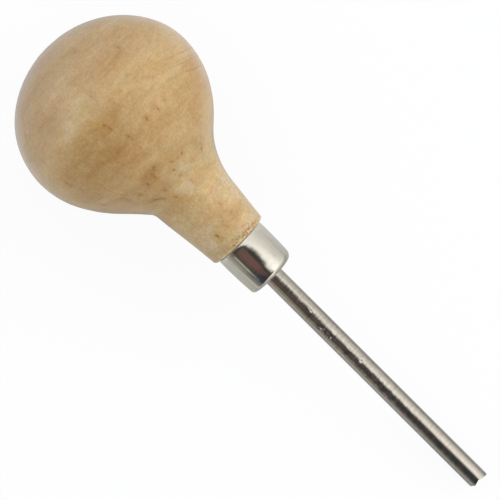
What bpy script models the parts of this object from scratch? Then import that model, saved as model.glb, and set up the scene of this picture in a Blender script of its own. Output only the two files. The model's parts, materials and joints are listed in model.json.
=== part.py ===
"""Prong pusher: a palm-held stone-setting tool with a turned handle, a plated ferrule and a notched shaft.

Each piece is built on the tool's own axis, which is local Z: the handle is up, the working tip is down, and
z = 0 is the shoulder where the ferrule seats on the wood. An empty then lays the tool on a table at z = 0,
where it touches with the belly of the ball and with the tip. The tip points to +X, and the notch runs upwards.
"""

import math

import bmesh
import bpy
from mathutils import Matrix

# Handle, in metres and radians: two half spheroids, a straight flank, a hollow fillet and a tapered neck
BALL_RADIUS = 0.0196
DOME_HEIGHT = 0.0175
BELLY_HEIGHT = 0.0189
BALL_TO_SHOULDER = 0.0348
FLANK_ANGLE = math.radians(42.6)
NECK_RADIUS = 0.00634
NECK_TAPER = math.radians(6.3)
NECK_FILLET = 0.010
SHOULDER_ROUND = 0.0007

# Ferrule: a drawn cup, widest at the mouth that meets the shoulder
FERRULE_RADIUS = 0.00547
FERRULE_TAPER = math.radians(1.4)
FERRULE_LENGTH = 0.0093
FERRULE_WALL = 0.0005
FERRULE_CORNER = 0.0012

# Shaft: a round rod from the tip to inside the neck, then a square tang
SHAFT_RADIUS = 0.0020
SHAFT_REACH = 0.0576
SHAFT_CHAMFER = 0.0002
ROD_DEPTH = 0.0060
TANG_LENGTH = 0.0180
TANG_SIDE = 0.0026
TANG_POINT_SIDE = 0.0012

# Working tip: a shallow V across the end, and a relief ground on the -Y side of it
NOTCH_DEPTH = 0.0006
NOTCH_SLOPE = math.radians(20)
RELIEF_OFFSET = 0.00066
RELIEF_SLOPE = math.radians(24)

# Fits, and the fineness of the round shapes
FIT_GAP = 0.0002
CHORD_ERROR = 0.00002
TIGHTEST_CORNER = 0.1
FILLET_ROOM = 0.95
HANDLE_SIDES = 64
METAL_SIDES = 48
SHARP_ANGLE = math.radians(30)

# Colours from the photograph, linear
WOOD_COLOUR = (0.53, 0.35, 0.17)
PLATE_COLOUR = (0.66, 0.62, 0.55)
STEEL_COLOUR = (0.48, 0.45, 0.41)


def clear_scene():
    """Remove every object that the file starts with."""
    for thing in list(bpy.data.objects):
        bpy.data.objects.remove(thing, do_unlink=True)


def new_collection(name):
    """A fresh collection under the scene's own."""
    group = bpy.data.collections.new(name)
    bpy.context.scene.collection.children.link(group)
    return group


def new_material(name, colour, roughness, metallic):
    """One Principled BSDF with a plain colour."""
    material = bpy.data.materials.new(name)
    material.use_nodes = True
    shader = material.node_tree.nodes["Principled BSDF"]
    shader.inputs["Base Color"].default_value = (*colour, 1.0)
    shader.inputs["Roughness"].default_value = roughness
    shader.inputs["Metallic"].default_value = metallic
    return material


def arc(centre, radii, start, end):
    """Points on an arc of a circle or an ellipse, as (radius, height) pairs with both ends."""
    widest_step = 2 * math.acos(1 - CHORD_ERROR / max(radii))
    count = math.ceil(abs(end - start) / widest_step)
    angles = [start + (end - start) * step / count for step in range(count + 1)]
    return [(centre[0] + radii[0] * math.cos(a), centre[1] + radii[1] * math.sin(a)) for a in angles]


def turned(name, outline, sides, group, closed=False):
    """A piece turned on the lathe: an outline at +X, downwards on its outer side, and a Screw modifier."""
    bm = bmesh.new()
    points = [bm.verts.new((radius, 0.0, height)) for radius, height in outline]
    for first, second in zip(points, points[1:]):
        bm.edges.new((first, second))
    if closed:
        bm.edges.new((points[-1], points[0]))
    piece = object_from(name, bm, group)
    screw = piece.modifiers.new("turn", "SCREW")
    screw.axis = "Z"
    screw.angle = math.tau
    screw.steps = sides
    screw.render_steps = sides
    screw.use_merge_vertices = True
    screw.merge_threshold = 0.00001
    return piece


def object_from(name, bm, group):
    """Turn a bmesh into a linked object."""
    mesh = bpy.data.meshes.new(name)
    bm.to_mesh(mesh)
    bm.free()
    piece = bpy.data.objects.new(name, mesh)
    group.objects.link(piece)
    return piece


def square_taper(name, low, high, group):
    """A square spike on the axis, flats facing X and Y, from one (height, side) pair to another."""
    bm = bmesh.new()
    to_radius = math.sqrt(0.5)
    bmesh.ops.create_cone(bm, cap_ends=True, segments=4, radius1=low[1] * to_radius,
                          radius2=high[1] * to_radius, depth=high[0] - low[0])
    bmesh.ops.rotate(bm, verts=bm.verts, matrix=Matrix.Rotation(math.pi / 4, 3, "Z"))
    bmesh.ops.translate(bm, verts=bm.verts, vec=(0.0, 0.0, (low[0] + high[0]) / 2))
    return object_from(name, bm, group)


def wedge(name, corners, half_width, group):
    """A straight prism along X whose section is the given (y, z) triangle."""
    bm = bmesh.new()
    section = bm.faces.new([bm.verts.new((-half_width, y, z)) for y, z in corners])
    swept = bmesh.ops.extrude_face_region(bm, geom=[section])["geom"]
    far_end = [item for item in swept if isinstance(item, bmesh.types.BMVert)]
    bmesh.ops.translate(bm, verts=far_end, vec=(2 * half_width, 0.0, 0.0))
    bmesh.ops.recalc_face_normals(bm, faces=bm.faces)
    return object_from(name, bm, group)


def combine(piece, operation, tool):
    """Cut or join another solid with a Boolean, and keep the tool as a hidden wire."""
    tool.hide_render = True
    tool.display_type = "WIRE"
    boolean = piece.modifiers.new(tool.name, "BOOLEAN")
    boolean.operation = operation
    boolean.solver = "EXACT"
    boolean.object = tool


def settle(piece, material, carrier, height):
    """Apply the modifiers, shade, colour and hang the piece on the tool's axis at a height."""
    evaluated = piece.evaluated_get(bpy.context.evaluated_depsgraph_get())
    mesh = bpy.data.meshes.new_from_object(evaluated)
    piece.modifiers.clear()
    piece.data = mesh
    mesh.name = piece.name
    mesh.shade_smooth()
    mesh.set_sharp_from_angle(angle=SHARP_ANGLE)
    mesh.materials.clear()
    mesh.materials.append(material)
    piece.parent = carrier
    piece.location = (0.0, 0.0, height)


def ferrule_corner(inset):
    """Front corner of the ferrule's outline, moved inwards by an inset: from its side round to its nose."""
    corner = max(FERRULE_CORNER - inset, TIGHTEST_CORNER * FERRULE_CORNER)
    height = inset - FERRULE_LENGTH + corner
    radius = ferrule_side(inset, height) - corner / math.cos(FERRULE_TAPER)
    return arc((radius, height), (corner, corner), -FERRULE_TAPER, -math.pi / 2)


def ferrule_side(inset, height):
    """Radius of the ferrule's tapered side at a height, moved inwards by an inset."""
    return FERRULE_RADIUS + height * math.tan(FERRULE_TAPER) - inset / math.cos(FERRULE_TAPER)


def ball_outline():
    """Dome and belly of the palm ball, down to where the straight flank leaves the belly."""
    centre = (0.0, BALL_TO_SHOULDER)
    leaving = math.atan(math.tan(FLANK_ANGLE) * BELLY_HEIGHT / BALL_RADIUS)
    dome = arc(centre, (BALL_RADIUS, DOME_HEIGHT), math.pi / 2, 0.0)
    belly = arc(centre, (BALL_RADIUS, BELLY_HEIGHT), 0.0, -leaving)
    return [(0.0, dome[0][1])] + dome[1:] + belly[1:]


def neck_outline(flank_top):
    """Hollow fillet between flank and neck, then the neck and the rounded edge of its shoulder."""
    reach = NECK_RADIUS - flank_top[0] + flank_top[1] * math.tan(FLANK_ANGLE)
    corner_z = reach / (math.tan(FLANK_ANGLE) - math.tan(NECK_TAPER))
    corner_r = NECK_RADIUS + corner_z * math.tan(NECK_TAPER)
    bend = math.tan((FLANK_ANGLE - NECK_TAPER) / 2)
    flank_room = (flank_top[1] - corner_z) / math.cos(FLANK_ANGLE)
    neck_room = (corner_z - SHOULDER_ROUND) / math.cos(NECK_TAPER)
    fillet = min(NECK_FILLET, FILLET_ROOM * min(flank_room, neck_room) / bend)
    centre_r = corner_r + fillet * (bend * math.sin(FLANK_ANGLE) + math.cos(FLANK_ANGLE))
    centre_z = corner_z + fillet * (bend * math.cos(FLANK_ANGLE) - math.sin(FLANK_ANGLE))
    hollow = arc((centre_r, centre_z), (fillet, fillet), math.pi - FLANK_ANGLE, math.pi - NECK_TAPER)
    edge_r = NECK_RADIUS + SHOULDER_ROUND * (math.tan(NECK_TAPER) - 1 / math.cos(NECK_TAPER))
    edge = arc((edge_r, SHOULDER_ROUND), (SHOULDER_ROUND, SHOULDER_ROUND), -NECK_TAPER, -math.pi / 2)
    return hollow + edge


def tenon_outline():
    """Tenon inside the ferrule and the round part of the bore, ending on the axis."""
    inset = FERRULE_WALL + FIT_GAP
    bore_radius = SHAFT_RADIUS + FIT_GAP
    bore_end = ROD_DEPTH + FIT_GAP
    tip = ferrule_corner(inset)
    bore = [(bore_radius, tip[-1][1]), (bore_radius, bore_end), (0.0, bore_end)]
    return [(ferrule_side(inset, 0.0), 0.0)] + tip + bore


def make_handle(parts, cutters):
    """Palm ball, neck and tenon turned in one, with a bore for the rod and a square socket for the tang."""
    ball = ball_outline()
    handle = turned("handle", ball + neck_outline(ball[-1]) + tenon_outline(), HANDLE_SIDES, parts)
    low = (ROD_DEPTH - SHAFT_RADIUS, TANG_SIDE + 2 * FIT_GAP)
    high = (ROD_DEPTH + TANG_LENGTH + FIT_GAP, TANG_POINT_SIDE + 2 * FIT_GAP)
    combine(handle, "DIFFERENCE", square_taper("tang_socket", low, high, cutters))
    return handle


def make_ferrule(parts):
    """Drawn cup with a tapered side, a rounded front corner and a hole for the shaft in its nose."""
    hole = SHAFT_RADIUS + FIT_GAP
    outside = [(ferrule_side(0.0, -FIT_GAP), -FIT_GAP)] + ferrule_corner(0.0)
    inside = ferrule_corner(FERRULE_WALL)[::-1] + [(ferrule_side(FERRULE_WALL, -FIT_GAP), -FIT_GAP)]
    nose = [(hole, outside[-1][1]), (hole, inside[0][1])]
    return turned("ferrule", outside + nose + inside, METAL_SIDES, parts, closed=True)


def make_shaft(parts, cutters):
    """Steel rod with its own z = 0 at the tip: notched and relieved there, with a square tang at the top."""
    rod_top = SHAFT_REACH + FERRULE_LENGTH + ROD_DEPTH
    rod = [(0.0, rod_top), (SHAFT_RADIUS - SHAFT_CHAMFER, rod_top), (SHAFT_RADIUS, rod_top - SHAFT_CHAMFER),
           (SHAFT_RADIUS, 0.0), (0.0, 0.0)]
    shaft = turned("shaft", rod, METAL_SIDES, parts)
    root = (rod_top - SHAFT_RADIUS, TANG_SIDE)
    point = (rod_top + TANG_LENGTH, TANG_POINT_SIDE)
    combine(shaft, "UNION", square_taper("tang", root, point, cutters))
    past = 2 * SHAFT_RADIUS
    half_mouth = (NOTCH_DEPTH + past) / math.tan(NOTCH_SLOPE)
    notch = [(0.0, NOTCH_DEPTH), (-half_mouth, -past), (half_mouth, -past)]
    combine(shaft, "DIFFERENCE", wedge("notch", notch, past, cutters))
    rise = math.tan(RELIEF_SLOPE)
    foot = -past * rise
    relief = [(past - RELIEF_OFFSET, foot), (-past, (past - RELIEF_OFFSET) * rise), (-past, foot)]
    combine(shaft, "DIFFERENCE", wedge("relief", relief, past, cutters))
    return shaft


def lay_down():
    """Empty that carries the tool: tilted until the belly and the notch's foot both touch the table."""
    arm = BALL_TO_SHOULDER + FERRULE_LENGTH + SHAFT_REACH - NOTCH_DEPTH
    spread = arm ** 2 - BELLY_HEIGHT ** 2
    root = math.sqrt((arm * SHAFT_RADIUS) ** 2 + spread * (BALL_RADIUS ** 2 - SHAFT_RADIUS ** 2))
    tilt = math.atan((root - arm * SHAFT_RADIUS) / spread)
    level, drop = math.cos(tilt), math.sin(tilt)
    height = math.hypot(BALL_RADIUS * level, BELLY_HEIGHT * drop) - BALL_TO_SHOULDER * drop
    behind = BALL_TO_SHOULDER * level + math.hypot(DOME_HEIGHT * level, BALL_RADIUS * drop)
    ahead = (FERRULE_LENGTH + SHAFT_REACH) * level
    carrier = bpy.data.objects.new("tool_axis", None)
    carrier.location = ((behind - ahead) / 2, 0.0, height)
    carrier.rotation_euler = (0.0, tilt - math.pi / 2, 0.0)
    return carrier


def main():
    clear_scene()
    parts = new_collection("prong_pusher")
    cutters = new_collection("cutters")
    carrier = lay_down()
    parts.objects.link(carrier)
    wood = new_material("turned_hardwood", WOOD_COLOUR, 0.45, 0.0)
    plate = new_material("nickel_plate", PLATE_COLOUR, 0.15, 1.0)
    steel = new_material("ground_steel", STEEL_COLOUR, 0.28, 1.0)
    settle(make_handle(parts, cutters), wood, carrier, 0.0)
    settle(make_ferrule(parts), plate, carrier, 0.0)
    settle(make_shaft(parts, cutters), steel, carrier, -(FERRULE_LENGTH + SHAFT_REACH))


main()
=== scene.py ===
"""Looks of the prong pusher: fine meshes, procedural wood, nickel and steel, and a white studio.

The pieces are made on the tool's own axis, as in the CAD: local Z runs to the handle's top, local
X is up and local Y is across, with z = 0 at the wood's shoulder. Each finished mesh is then laid
on the table in the row frame.
"""

import json
import math

import bmesh
import bpy
from mathutils import Matrix, Vector, noise

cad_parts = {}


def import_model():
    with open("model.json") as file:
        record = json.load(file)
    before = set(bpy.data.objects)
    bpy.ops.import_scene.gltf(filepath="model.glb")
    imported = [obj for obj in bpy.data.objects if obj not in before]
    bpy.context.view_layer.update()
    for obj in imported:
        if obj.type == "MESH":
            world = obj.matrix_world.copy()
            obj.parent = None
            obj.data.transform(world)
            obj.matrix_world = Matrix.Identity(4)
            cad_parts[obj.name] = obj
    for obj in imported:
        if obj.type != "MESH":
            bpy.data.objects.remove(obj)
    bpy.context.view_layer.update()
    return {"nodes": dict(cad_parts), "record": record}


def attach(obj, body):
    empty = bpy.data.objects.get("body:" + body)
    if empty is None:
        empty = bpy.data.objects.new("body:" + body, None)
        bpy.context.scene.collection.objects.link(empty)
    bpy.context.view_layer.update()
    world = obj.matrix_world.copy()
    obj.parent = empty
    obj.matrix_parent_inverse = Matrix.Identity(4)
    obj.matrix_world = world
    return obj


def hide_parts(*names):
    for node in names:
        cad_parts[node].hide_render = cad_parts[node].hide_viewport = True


MM = 0.001
WHITE = (1.0, 1.0, 1.0, 1.0)

# Handle outline in metres, close to the CAD's
BALL_RADIUS = 0.0196
DOME_HEIGHT = 0.01737
BELLY_HEIGHT = 0.0189
BALL_TO_SHOULDER = 0.0348
FLANK_ANGLE = math.radians(42.6)
NECK_RADIUS = 0.00634
NECK_TAPER = math.radians(6.3)
SHOULDER_ROUND = 0.0006

# Hand finish of the handle: the ball sits off the neck's axis towards +Y and its dome leans back,
# the hollow is tighter on the -Y side, the flank swells a little, and the shoulder's edge is torn
BALL_SHIFT = 0.00045
NECK_SHIFT = 0.00006
SHIFT_FROM = 0.010
SHIFT_TO = 0.027
DOME_SHIFT = 0.00023
DOME_FROM = 0.038
DOME_TO = 0.048
FILLET_MEAN = 0.0102
FILLET_SWING = 0.0078
FLANK_SWELL = 0.00028
FLANK_HEIGHT = 0.0209
FLANK_REACH = 0.0040
SANDING_DEPTH = 0.00009
SANDING_SIZE = 0.011
SANDING_FROM = 0.004
CHIP_DEPTH = 0.00020
CHIP_SIZE = 0.0009
CHIP_OCTAVES = 3
CHIP_LEVEL = 0.35
CHIP_REACH = 0.0010

# Marks on the wood, as heights in mm and turns in degrees from the top towards +Y. Pores and small
# cracks have half their length in mm, their tilt from the grain towards +Y in degrees and their
# strength
PORES = (
    (42.6, 33, 0.7, 40, 0.9), (36.1, 5, 0.6, 20, 0.6), (39.8, -1, 0.8, 7, 0.5),
    (34.5, -7, 0.7, -50, 0.75), (34.8, -11, 0.6, 90, 0.6), (33.2, -6, 1.2, 0, 0.5),
    (29.9, -2, 1.2, -12, 0.9), (29.8, 12, 1.0, 4, 0.85), (29.7, 21, 0.75, 0, 1.0),
    (29.5, 27, 0.9, 4, 0.7), (26.6, -2, 0.8, 0, 0.5), (22.2, -6, 0.8, 50, 1.0),
    (21.0, -11, 1.1, 19, 0.95), (20.8, -19, 0.9, 22, 0.9), (20.4, 18, 0.6, 64, 1.0),
    (20.4, 13, 0.6, 56, 0.8), (20.7, 7, 0.8, -50, 0.6), (20.5, -32, 0.6, 0, 0.9),
    (21.5, -42, 0.5, 25, 0.7), (19.2, 4, 0.5, -48, 0.9), (17.6, 6, 0.7, -47, 1.0),
    (17.3, -32, 2.2, -54, 1.0), (17.5, -17, 0.5, -45, 0.8), (16.4, -28, 0.6, -20, 0.7),
    (15.2, -17, 0.9, -25, 1.0), (15.4, 12, 0.7, -22, 0.6), (18.3, 42, 1.3, 14, 1.0),
    (8.2, 21, 0.9, 5, 0.6), (4.1, -19, 0.9, -16, 0.85), (4.2, 3, 0.8, -27, 0.7),
    (5.7, 27, 0.7, 86, 0.6), (31.3, -52, 1.0, -13, 0.8), (43.3, -58, 1.1, 23, 0.6),
    (23.9, -58, 1.0, -41, 0.8),
)
PORE_WIDTH = 0.42
PORE_REACH = 3.0
PORE_DEPTH = 0.75
PORE_HALO = (3.2, 0.4)
STRAY_PORES = ((0.50, 0.50, 0.24), 0.11)
STRAY_STRENGTH = 0.42

# Turning scores: height, half width and strength, tilted because the ball was turned off its axis
SCORES = (
    (34.2, 0.34, 1.0), (32.9, 0.22, 0.7), (32.3, 0.24, 0.9), (30.2, 0.32, 0.8), (36.0, 0.20, 0.5),
)
SCORE_TILT = 0.4
SCORE_SIDE = 16.0
SCORE_WAVER = 0.9
RING_WIDTH = 0.030

# Broad patches have their reach along and round in mm and how much darker they are, or paler below
# zero; stains have how much warmer they are
PATCHES = (
    (34.5, -2, 3.4, 3.2, 0.20), (30.6, -14, 3.2, 5.0, 0.32), (30.0, -32, 3.2, 4.5, 0.16),
    (27.4, -12, 2.6, 3.4, 0.34), (25.6, -22, 2.4, 4.0, 0.22), (25.6, 8, 2.2, 3.0, 0.24),
    (22.1, -10, 1.6, 2.4, 0.34), (40.6, 28, 3.2, 4.0, 0.18), (43.2, -36, 3.0, 4.0, 0.18),
    (32.0, 36, 2.5, 3.0, 0.12), (29.5, 48, 5.0, 6.0, 0.14), (5.4, 26, 1.6, 3.2, 0.30),
    (3.8, -17, 1.0, 1.4, 0.08), (27.6, -43, 5.0, 6.0, 0.14), (22.0, -66, 4.0, 4.0, 0.12),
    (20.9, -19, 1.6, 2.0, 0.12), (29.0, 62, 3.0, 3.0, 0.10), (46.2, 12, 2.5, 5.0, 0.10),
    (31.6, 14, 2.2, 2.6, 0.10), (39.2, -2, 2.0, 2.4, 0.10), (39.6, -16, 2.6, 4.2, -0.28),
    (37.6, -24, 2.2, 3.5, -0.28), (33.4, 8, 1.8, 2.2, -0.12), (15.3, 2, 1.9, 2.4, -0.34),
    (17.8, 18, 2.2, 3.0, -0.28), (9.5, 60, 6.0, 5.0, -0.32), (1.3, 30, 1.6, 6.0, -0.26),
    (16.4, 66, 2.0, 2.4, -0.12), (38.0, 34, 4.0, 5.0, -0.12), (7.0, -42, 6.0, 4.0, -0.22),
    (26.4, -1, 0.9, 1.5, -0.24), (42.8, -9, 2.4, 4.2, -0.15), (17.4, 52, 2.0, 3.0, -0.20),
    (19.6, 22, 1.8, 2.4, -0.24), (25.0, -5, 1.6, 2.0, 0.22), (17.8, -2, 1.4, 1.8, -0.15),
    (12.5, -50, 2.4, 2.4, -0.18), (3.3, -11, 1.2, 1.4, -0.14), (9.5, 30, 1.8, 2.4, 0.12),
    (40.7, 9, 1.8, 2.2, -0.10), (44.6, -51, 2.4, 3.0, -0.10), (15.6, 26, 1.6, 2.0, -0.12),
    (18.9, 4, 1.6, 2.0, -0.18), (17.4, 39, 1.8, 2.2, -0.16), (32.3, -4, 1.9, 1.6, -0.16),
    (43.0, 34, 2.0, 2.4, -0.15), (11.7, 66, 2.2, 2.2, -0.15), (37.7, 8, 2.0, 2.2, 0.14),
    (51.4, 0, 2.4, 6.0, 0.13), (28.0, -40, 1.8, 2.4, 0.13), (31.6, 26, 1.8, 2.4, 0.12),
    (29.2, 3, 1.2, 1.6, 0.12), (47.8, 23, 2.0, 2.6, 0.12), (29.2, 56, 1.8, 2.2, 0.10),
)
STAINS = (
    (40.7, 24, 2.0, 2.4, 0.40), (34.6, -9, 1.6, 1.8, 0.30), (30.9, 5, 2.4, 2.8, -0.18),
    (23.9, 26, 3.0, 3.4, -0.18), (17.5, 16, 2.2, 2.6, -0.28), (5.4, 30, 1.6, 2.6, 0.22),
    (4.1, -19, 1.0, 1.2, 0.08), (18.9, 4, 1.6, 2.0, -0.20), (17.4, 40, 1.8, 2.2, -0.15),
    (37.7, 8, 2.0, 2.2, 0.18), (15.2, 2, 1.2, 1.6, -0.25), (29.2, 56, 1.8, 2.4, 0.15),
)
PATCH_SPREAD = 1.5
NECK_PALER = 0.17
NECK_COOLER = 0.10

# What the fibres and each kind of mark leave of the wood's colour, and the painted highlight on the
# shoulder's edge
FIBRE_SHADES = ((0.2, (0.79, 0.76, 0.67, 1.0)), (0.5, WHITE), (0.8, (1.21, 1.25, 1.35, 1.0)))
HUE_SHADES = ((0.0, (1.035, 0.98, 0.78, 1.0)), (1.0, (0.965, 1.02, 1.22, 1.0)))
BLUSH_SHADES = ((0.3, (1.03, 0.978, 0.963, 1.0)), (0.7, (0.98, 1.015, 1.015, 1.0)))
SCORE_SHADE = (0.76, 0.68, 0.54, 1.0)
PORE_SHADE = (0.49, 0.31, 0.04, 1.0)
HALO_SHADE = (0.93, 0.87, 0.74, 1.0)
TEAR_SHADE = (0.54, 0.42, 0.26, 1.0)
# Painted highlight on the shoulder's rounded edge, a pale cool lift of the wood's colour
RIM_HIGHLIGHT = (1.22, 1.32, 1.65, 1.0)

# Noise in the wood: stretch per mm across and along the axis, detail, roughness and distortion
FIGURE_GRAIN = ((0.10, 0.10, 0.22), 3.0, 0.52, 0.5)
MOTTLE_GRAIN = ((0.70, 0.70, 0.85), 3.0, 0.6)
FIBRE_GRAIN = ((2.4, 2.4, 1.6), 4.0, 0.75)
HUE_GRAIN = ((0.36, 0.36, 0.6), 1.5, 0.5)
BLUSH_GRAIN = ((0.26, 0.26, 0.40), 3.0, 0.6)
RING_GRAIN = ((0.06, 0.06, 0.70), 2.0, 0.5)
TEAR_GRAIN = ((2.3, 2.3, 1.6), 3.0, 0.6)

# Even noise has its scale per mm and its detail, and bends have their scale per mm and reach in mm
PORE_NOISE = (1.5, 1.0)
SCORE_NOISE = (0.45, 1.0)
WAVER_NOISE = (0.35, 2.0)
# The next noise breaks up the painted highlight on the shoulder's edge
RIM_HIGHLIGHT_NOISE = (0.9, 2.0)
PORE_BEND = (2.0, 0.55)
TEAR_BEND = (1.2, 0.9)
PATCH_BENDS = ((0.28, 3.2), (0.9, 1.6))

# Smooth steps in the wood: where each begins and ends, in mm or as a level of noise, and what it
# goes from and to if that isn't 0 and 1
PORE_BREAKS = (0.35, 0.60, 0.55, 1.15)
RING_SIDES = (0.0, 9.0, 0.22, 0.40)
SCORE_SIDES = (9.5, 17.0)
SCORE_WEAR = (0.36, 0.52, 0.5, 1.0)
TEAR_HEIGHTS = (3.0, 0.7)
TEAR_SIDES = ((-3.5, 0.5, 0.3, 1.0), (5.2, 3.6, 0.15, 1.0))
TEAR_LEVELS = (0.45, 0.60)
# Heights and noise levels of the painted highlight on the shoulder's edge
RIM_HIGHLIGHT_HEIGHTS = (0.75, 0.35)
RIM_HIGHLIGHT_BREAKUP = (0.35, 0.55, 0.3, 1.0)
FIBRE_RAISED = (20.0, 12.0, 1.0, 1.22)
NECK_FADE = (15.0, 4.0)
WOOD_ROUGHNESS = (0.3, 0.7, 0.42, 0.55)

# Tones of the wood as 8-bit screen values, what shifts them, and its relief and lacquer
WOOD_TONES = (
    (0.0, (167, 119, 58)), (0.3, (185, 143, 83)), (0.58, (197, 161, 104)), (0.8, (205, 173, 118)),
    (1.0, (214, 189, 144)),
)
TONE_MEAN = 0.58
FIGURE_DEPTH = 0.95
MOTTLE_DEPTH = 0.50
SCORE_RELIEF = -0.6
PORE_RELIEF = -1.5
TEAR_RELIEF = -2.5
WOOD_BUMP = 0.000018
WOOD_SPECULAR = 0.25
LACQUER = 1.0
LACQUER_ROUGHNESS = 0.24

# Nickel plate and ground steel: noise, tones and roughness by that noise, and bump in metres
NICKEL_WAVE = (0.35, 2.0)
NICKEL_CLOUD = (0.8, 4.0)
NICKEL_TONES = ((0.3, (0.72, 0.68, 0.585, 1.0)), (0.7, (0.77, 0.73, 0.63, 1.0)))
NICKEL_ROUGHNESS = (0.3, 0.7, 0.06, 0.12)
NICKEL_BUMP = 0.00003
STEEL_GRAIN = ((0.4, 0.4, 3.8), 4.0, 0.72)
STEEL_WAVE = ((0.35, 0.35, 0.40), 2.0)
STEEL_CALM = ((-52.0, -38.0, 0.25, 1.0), (-13.0, -19.0, 0.25, 1.0))
STEEL_TONES = ((0.3, (0.49, 0.450, 0.378, 1.0)), (0.7, (0.69, 0.635, 0.547, 1.0)))
STEEL_ROUGHNESS = (0.3, 0.7, 0.11, 0.20)
STEEL_BUMP = 0.000002
STEEL_WAVE_BUMP = 0.00015

# Ferrule
FERRULE_RADIUS = 0.00542
FERRULE_TAPER = math.radians(1.4)
FERRULE_LENGTH = 0.0093
FERRULE_WALL = 0.0005
FERRULE_CORNER = 0.0011
CORNER_SWING = 0.0004
FERRULE_LIP = 0.00012
FERRULE_CROWN = 0.00012
FERRULE_LEAN = math.radians(0.45)
MOUTH_ROLL = 0.00008
MOUTH_REACH = 0.0011
FERRULE_DENT = 0.000012
FERRULE_DENT_SIZE = 0.0035

# Shaft and tang
SHAFT_RADIUS = 0.0020
SHAFT_REACH = 0.0576
SHAFT_EDGE = 0.00004
ROD_DEPTH = 0.0060
TANG_LENGTH = 0.0180
TANG_SIDE = 0.0026
TANG_POINT_SIDE = 0.0012
TANG_RINGS = (0.06, 0.5, 1.0)
TIP_Z = -(FERRULE_LENGTH + SHAFT_REACH)

# A long shallow hollow on top of the shaft's root, and nicks further on: height in mm, turn in
# degrees from the top, reach along and round in mm, and depth in mm
NICKS = (
    (-11.4, 1, 7.2, 1.00, 0.060), (-18.6, 1, 7.2, 1.00, 0.050),
    (-23.0, -24, 0.35, 0.40, 0.10), (-23.6, -14, 0.90, 0.28, 0.09), (-24.7, -19, 0.80, 0.28, 0.09),
    (-25.6, -22, 0.40, 0.40, 0.10), (-33.2, 7, 0.36, 0.50, 0.11), (-19.4, 8, 0.30, 0.40, 0.06),
    (-18.8, 12, 0.60, 0.20, 0.03), (-29.8, 10, 0.90, 0.20, 0.03),
)

# Working tip
NOTCH_DEPTH = 0.0007
NOTCH_SLOPE = math.radians(20)
RELIEF_OFFSET = 0.00066
RELIEF_SLOPE = math.radians(24)

# Fits
FIT_GAP = 0.0002
SEAM = 0.00008

# Fineness of the meshes
HANDLE_SIDES = 288
FERRULE_SIDES = 192
SHAFT_SIDES = 160
DOME_STEPS = 64
BELLY_STEPS = 34
FLANK_STEPS = 14
FILLET_STEPS = 20
NECK_STEPS = 36
EDGE_STEPS = 8
SHOULDER_STEPS = 4
SIDE_STEPS = 48
CORNER_STEPS = 14
LIP_STEPS = 5
NOSE_STEPS = 8
HOLE_STEPS = 4
SHAFT_STEPS = 560
SHARP_ANGLE = math.radians(28)
TIP_SHARP_ANGLE = math.radians(12)
MERGE = 1e-7

# Camera: 500 x 500 image, the tool's axis along its diagonal
SENSOR = 36.0
LENS = 167.8
CAMERA_DISTANCE = 0.45
CAMERA_LEAN = math.radians(4.03)
AIM_ALONG = -0.00281
AIM_ACROSS = 0.00031
TIP_RIGHT = 0.70835
TIP_DOWN = 0.70586

# Light: a soft sky over a grey table that the camera sees as white, and a low side light
FLOOR_SIZE = 3.0
FLOOR_DROP = 0.00005
FLOOR_TONE = (0.40, 0.40, 0.39, 1.0)
FLOOR_LIFT = 0.92
KEY_POWER = 2.15
KEY_SIZE = 0.60
KEY_DISTANCE = 0.75
KEY_FROM = (0.31, 0.85, 0.42)

# Sky that lights the tool: even, with more blue from behind it and less light from its -Y side
AMBIENT = (0.795, 0.795, 0.795, 1.0)
FILL = (0.05, 0.15, 0.45, 1.0)
DROP = (0.08, 0.08, 0.08, 1.0)

# Glow of the table in reflections, by metres along the tool, on its -Y side and on its +Y side
FLOOR_GLOW = (
    (-0.130, (0.33, 0.36, 0.44), (0.26, 0.28, 0.33)),
    (-0.070, (0.32, 0.34, 0.40), (0.27, 0.28, 0.31)),
    (-0.060, (0.41, 0.42, 0.46), (0.27, 0.28, 0.30)),
    (-0.050, (0.48, 0.48, 0.50), (0.42, 0.42, 0.43)),
    (-0.041, (0.36, 0.36, 0.35), (0.53, 0.53, 0.53)),
    (-0.030, (0.31, 0.29, 0.25), (0.48, 0.48, 0.48)),
    (-0.024, (0.22, 0.20, 0.15), (0.36, 0.36, 0.36)),
    (-0.016, (0.33, 0.32, 0.29), (0.42, 0.42, 0.42)),
    (-0.010, (0.37, 0.36, 0.34), (0.42, 0.42, 0.42)),
    (-0.006, (0.26, 0.26, 0.25), (0.36, 0.36, 0.35)),
    (0.004, (0.17, 0.17, 0.16), (0.22, 0.22, 0.21)),
    (0.014, (0.08, 0.08, 0.07), (0.07, 0.07, 0.07)),
    (0.030, (0.16, 0.16, 0.15), (0.08, 0.08, 0.08)),
    (0.050, (0.08, 0.08, 0.08), (0.08, 0.08, 0.08)),
    (0.070, (0.05, 0.05, 0.05), (0.07, 0.07, 0.07)),
)
GLOW_FADE = (0.08 / 3, 0.08)
GLOW_SIDES = (-0.015, 0.015)
# Painted shadow of the ball in the table's glow: the share of glow left under it, and its reach
CONTACT = 0.35
CONTACT_REACH = (1.05 * BALL_RADIUS, 1.5 * BALL_RADIUS)

# Brightness of the light tent that metal mirrors, by degrees from straight up, positive towards +Y
TENT = (
    (-110, 0.57), (-102, 0.54), (-90, 0.43), (-79, 0.355), (-69, 0.24), (-58, 0.18), (-50, 0.068),
    (-20, 0.046), (2, 0.062), (8, 0.11), (13.5, 0.42), (20, 1.02), (29, 1.23), (38, 1.20),
    (50, 1.09), (60, 0.92), (70, 0.82), (80, 0.75), (90, 0.69), (110, 0.62),
)

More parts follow.
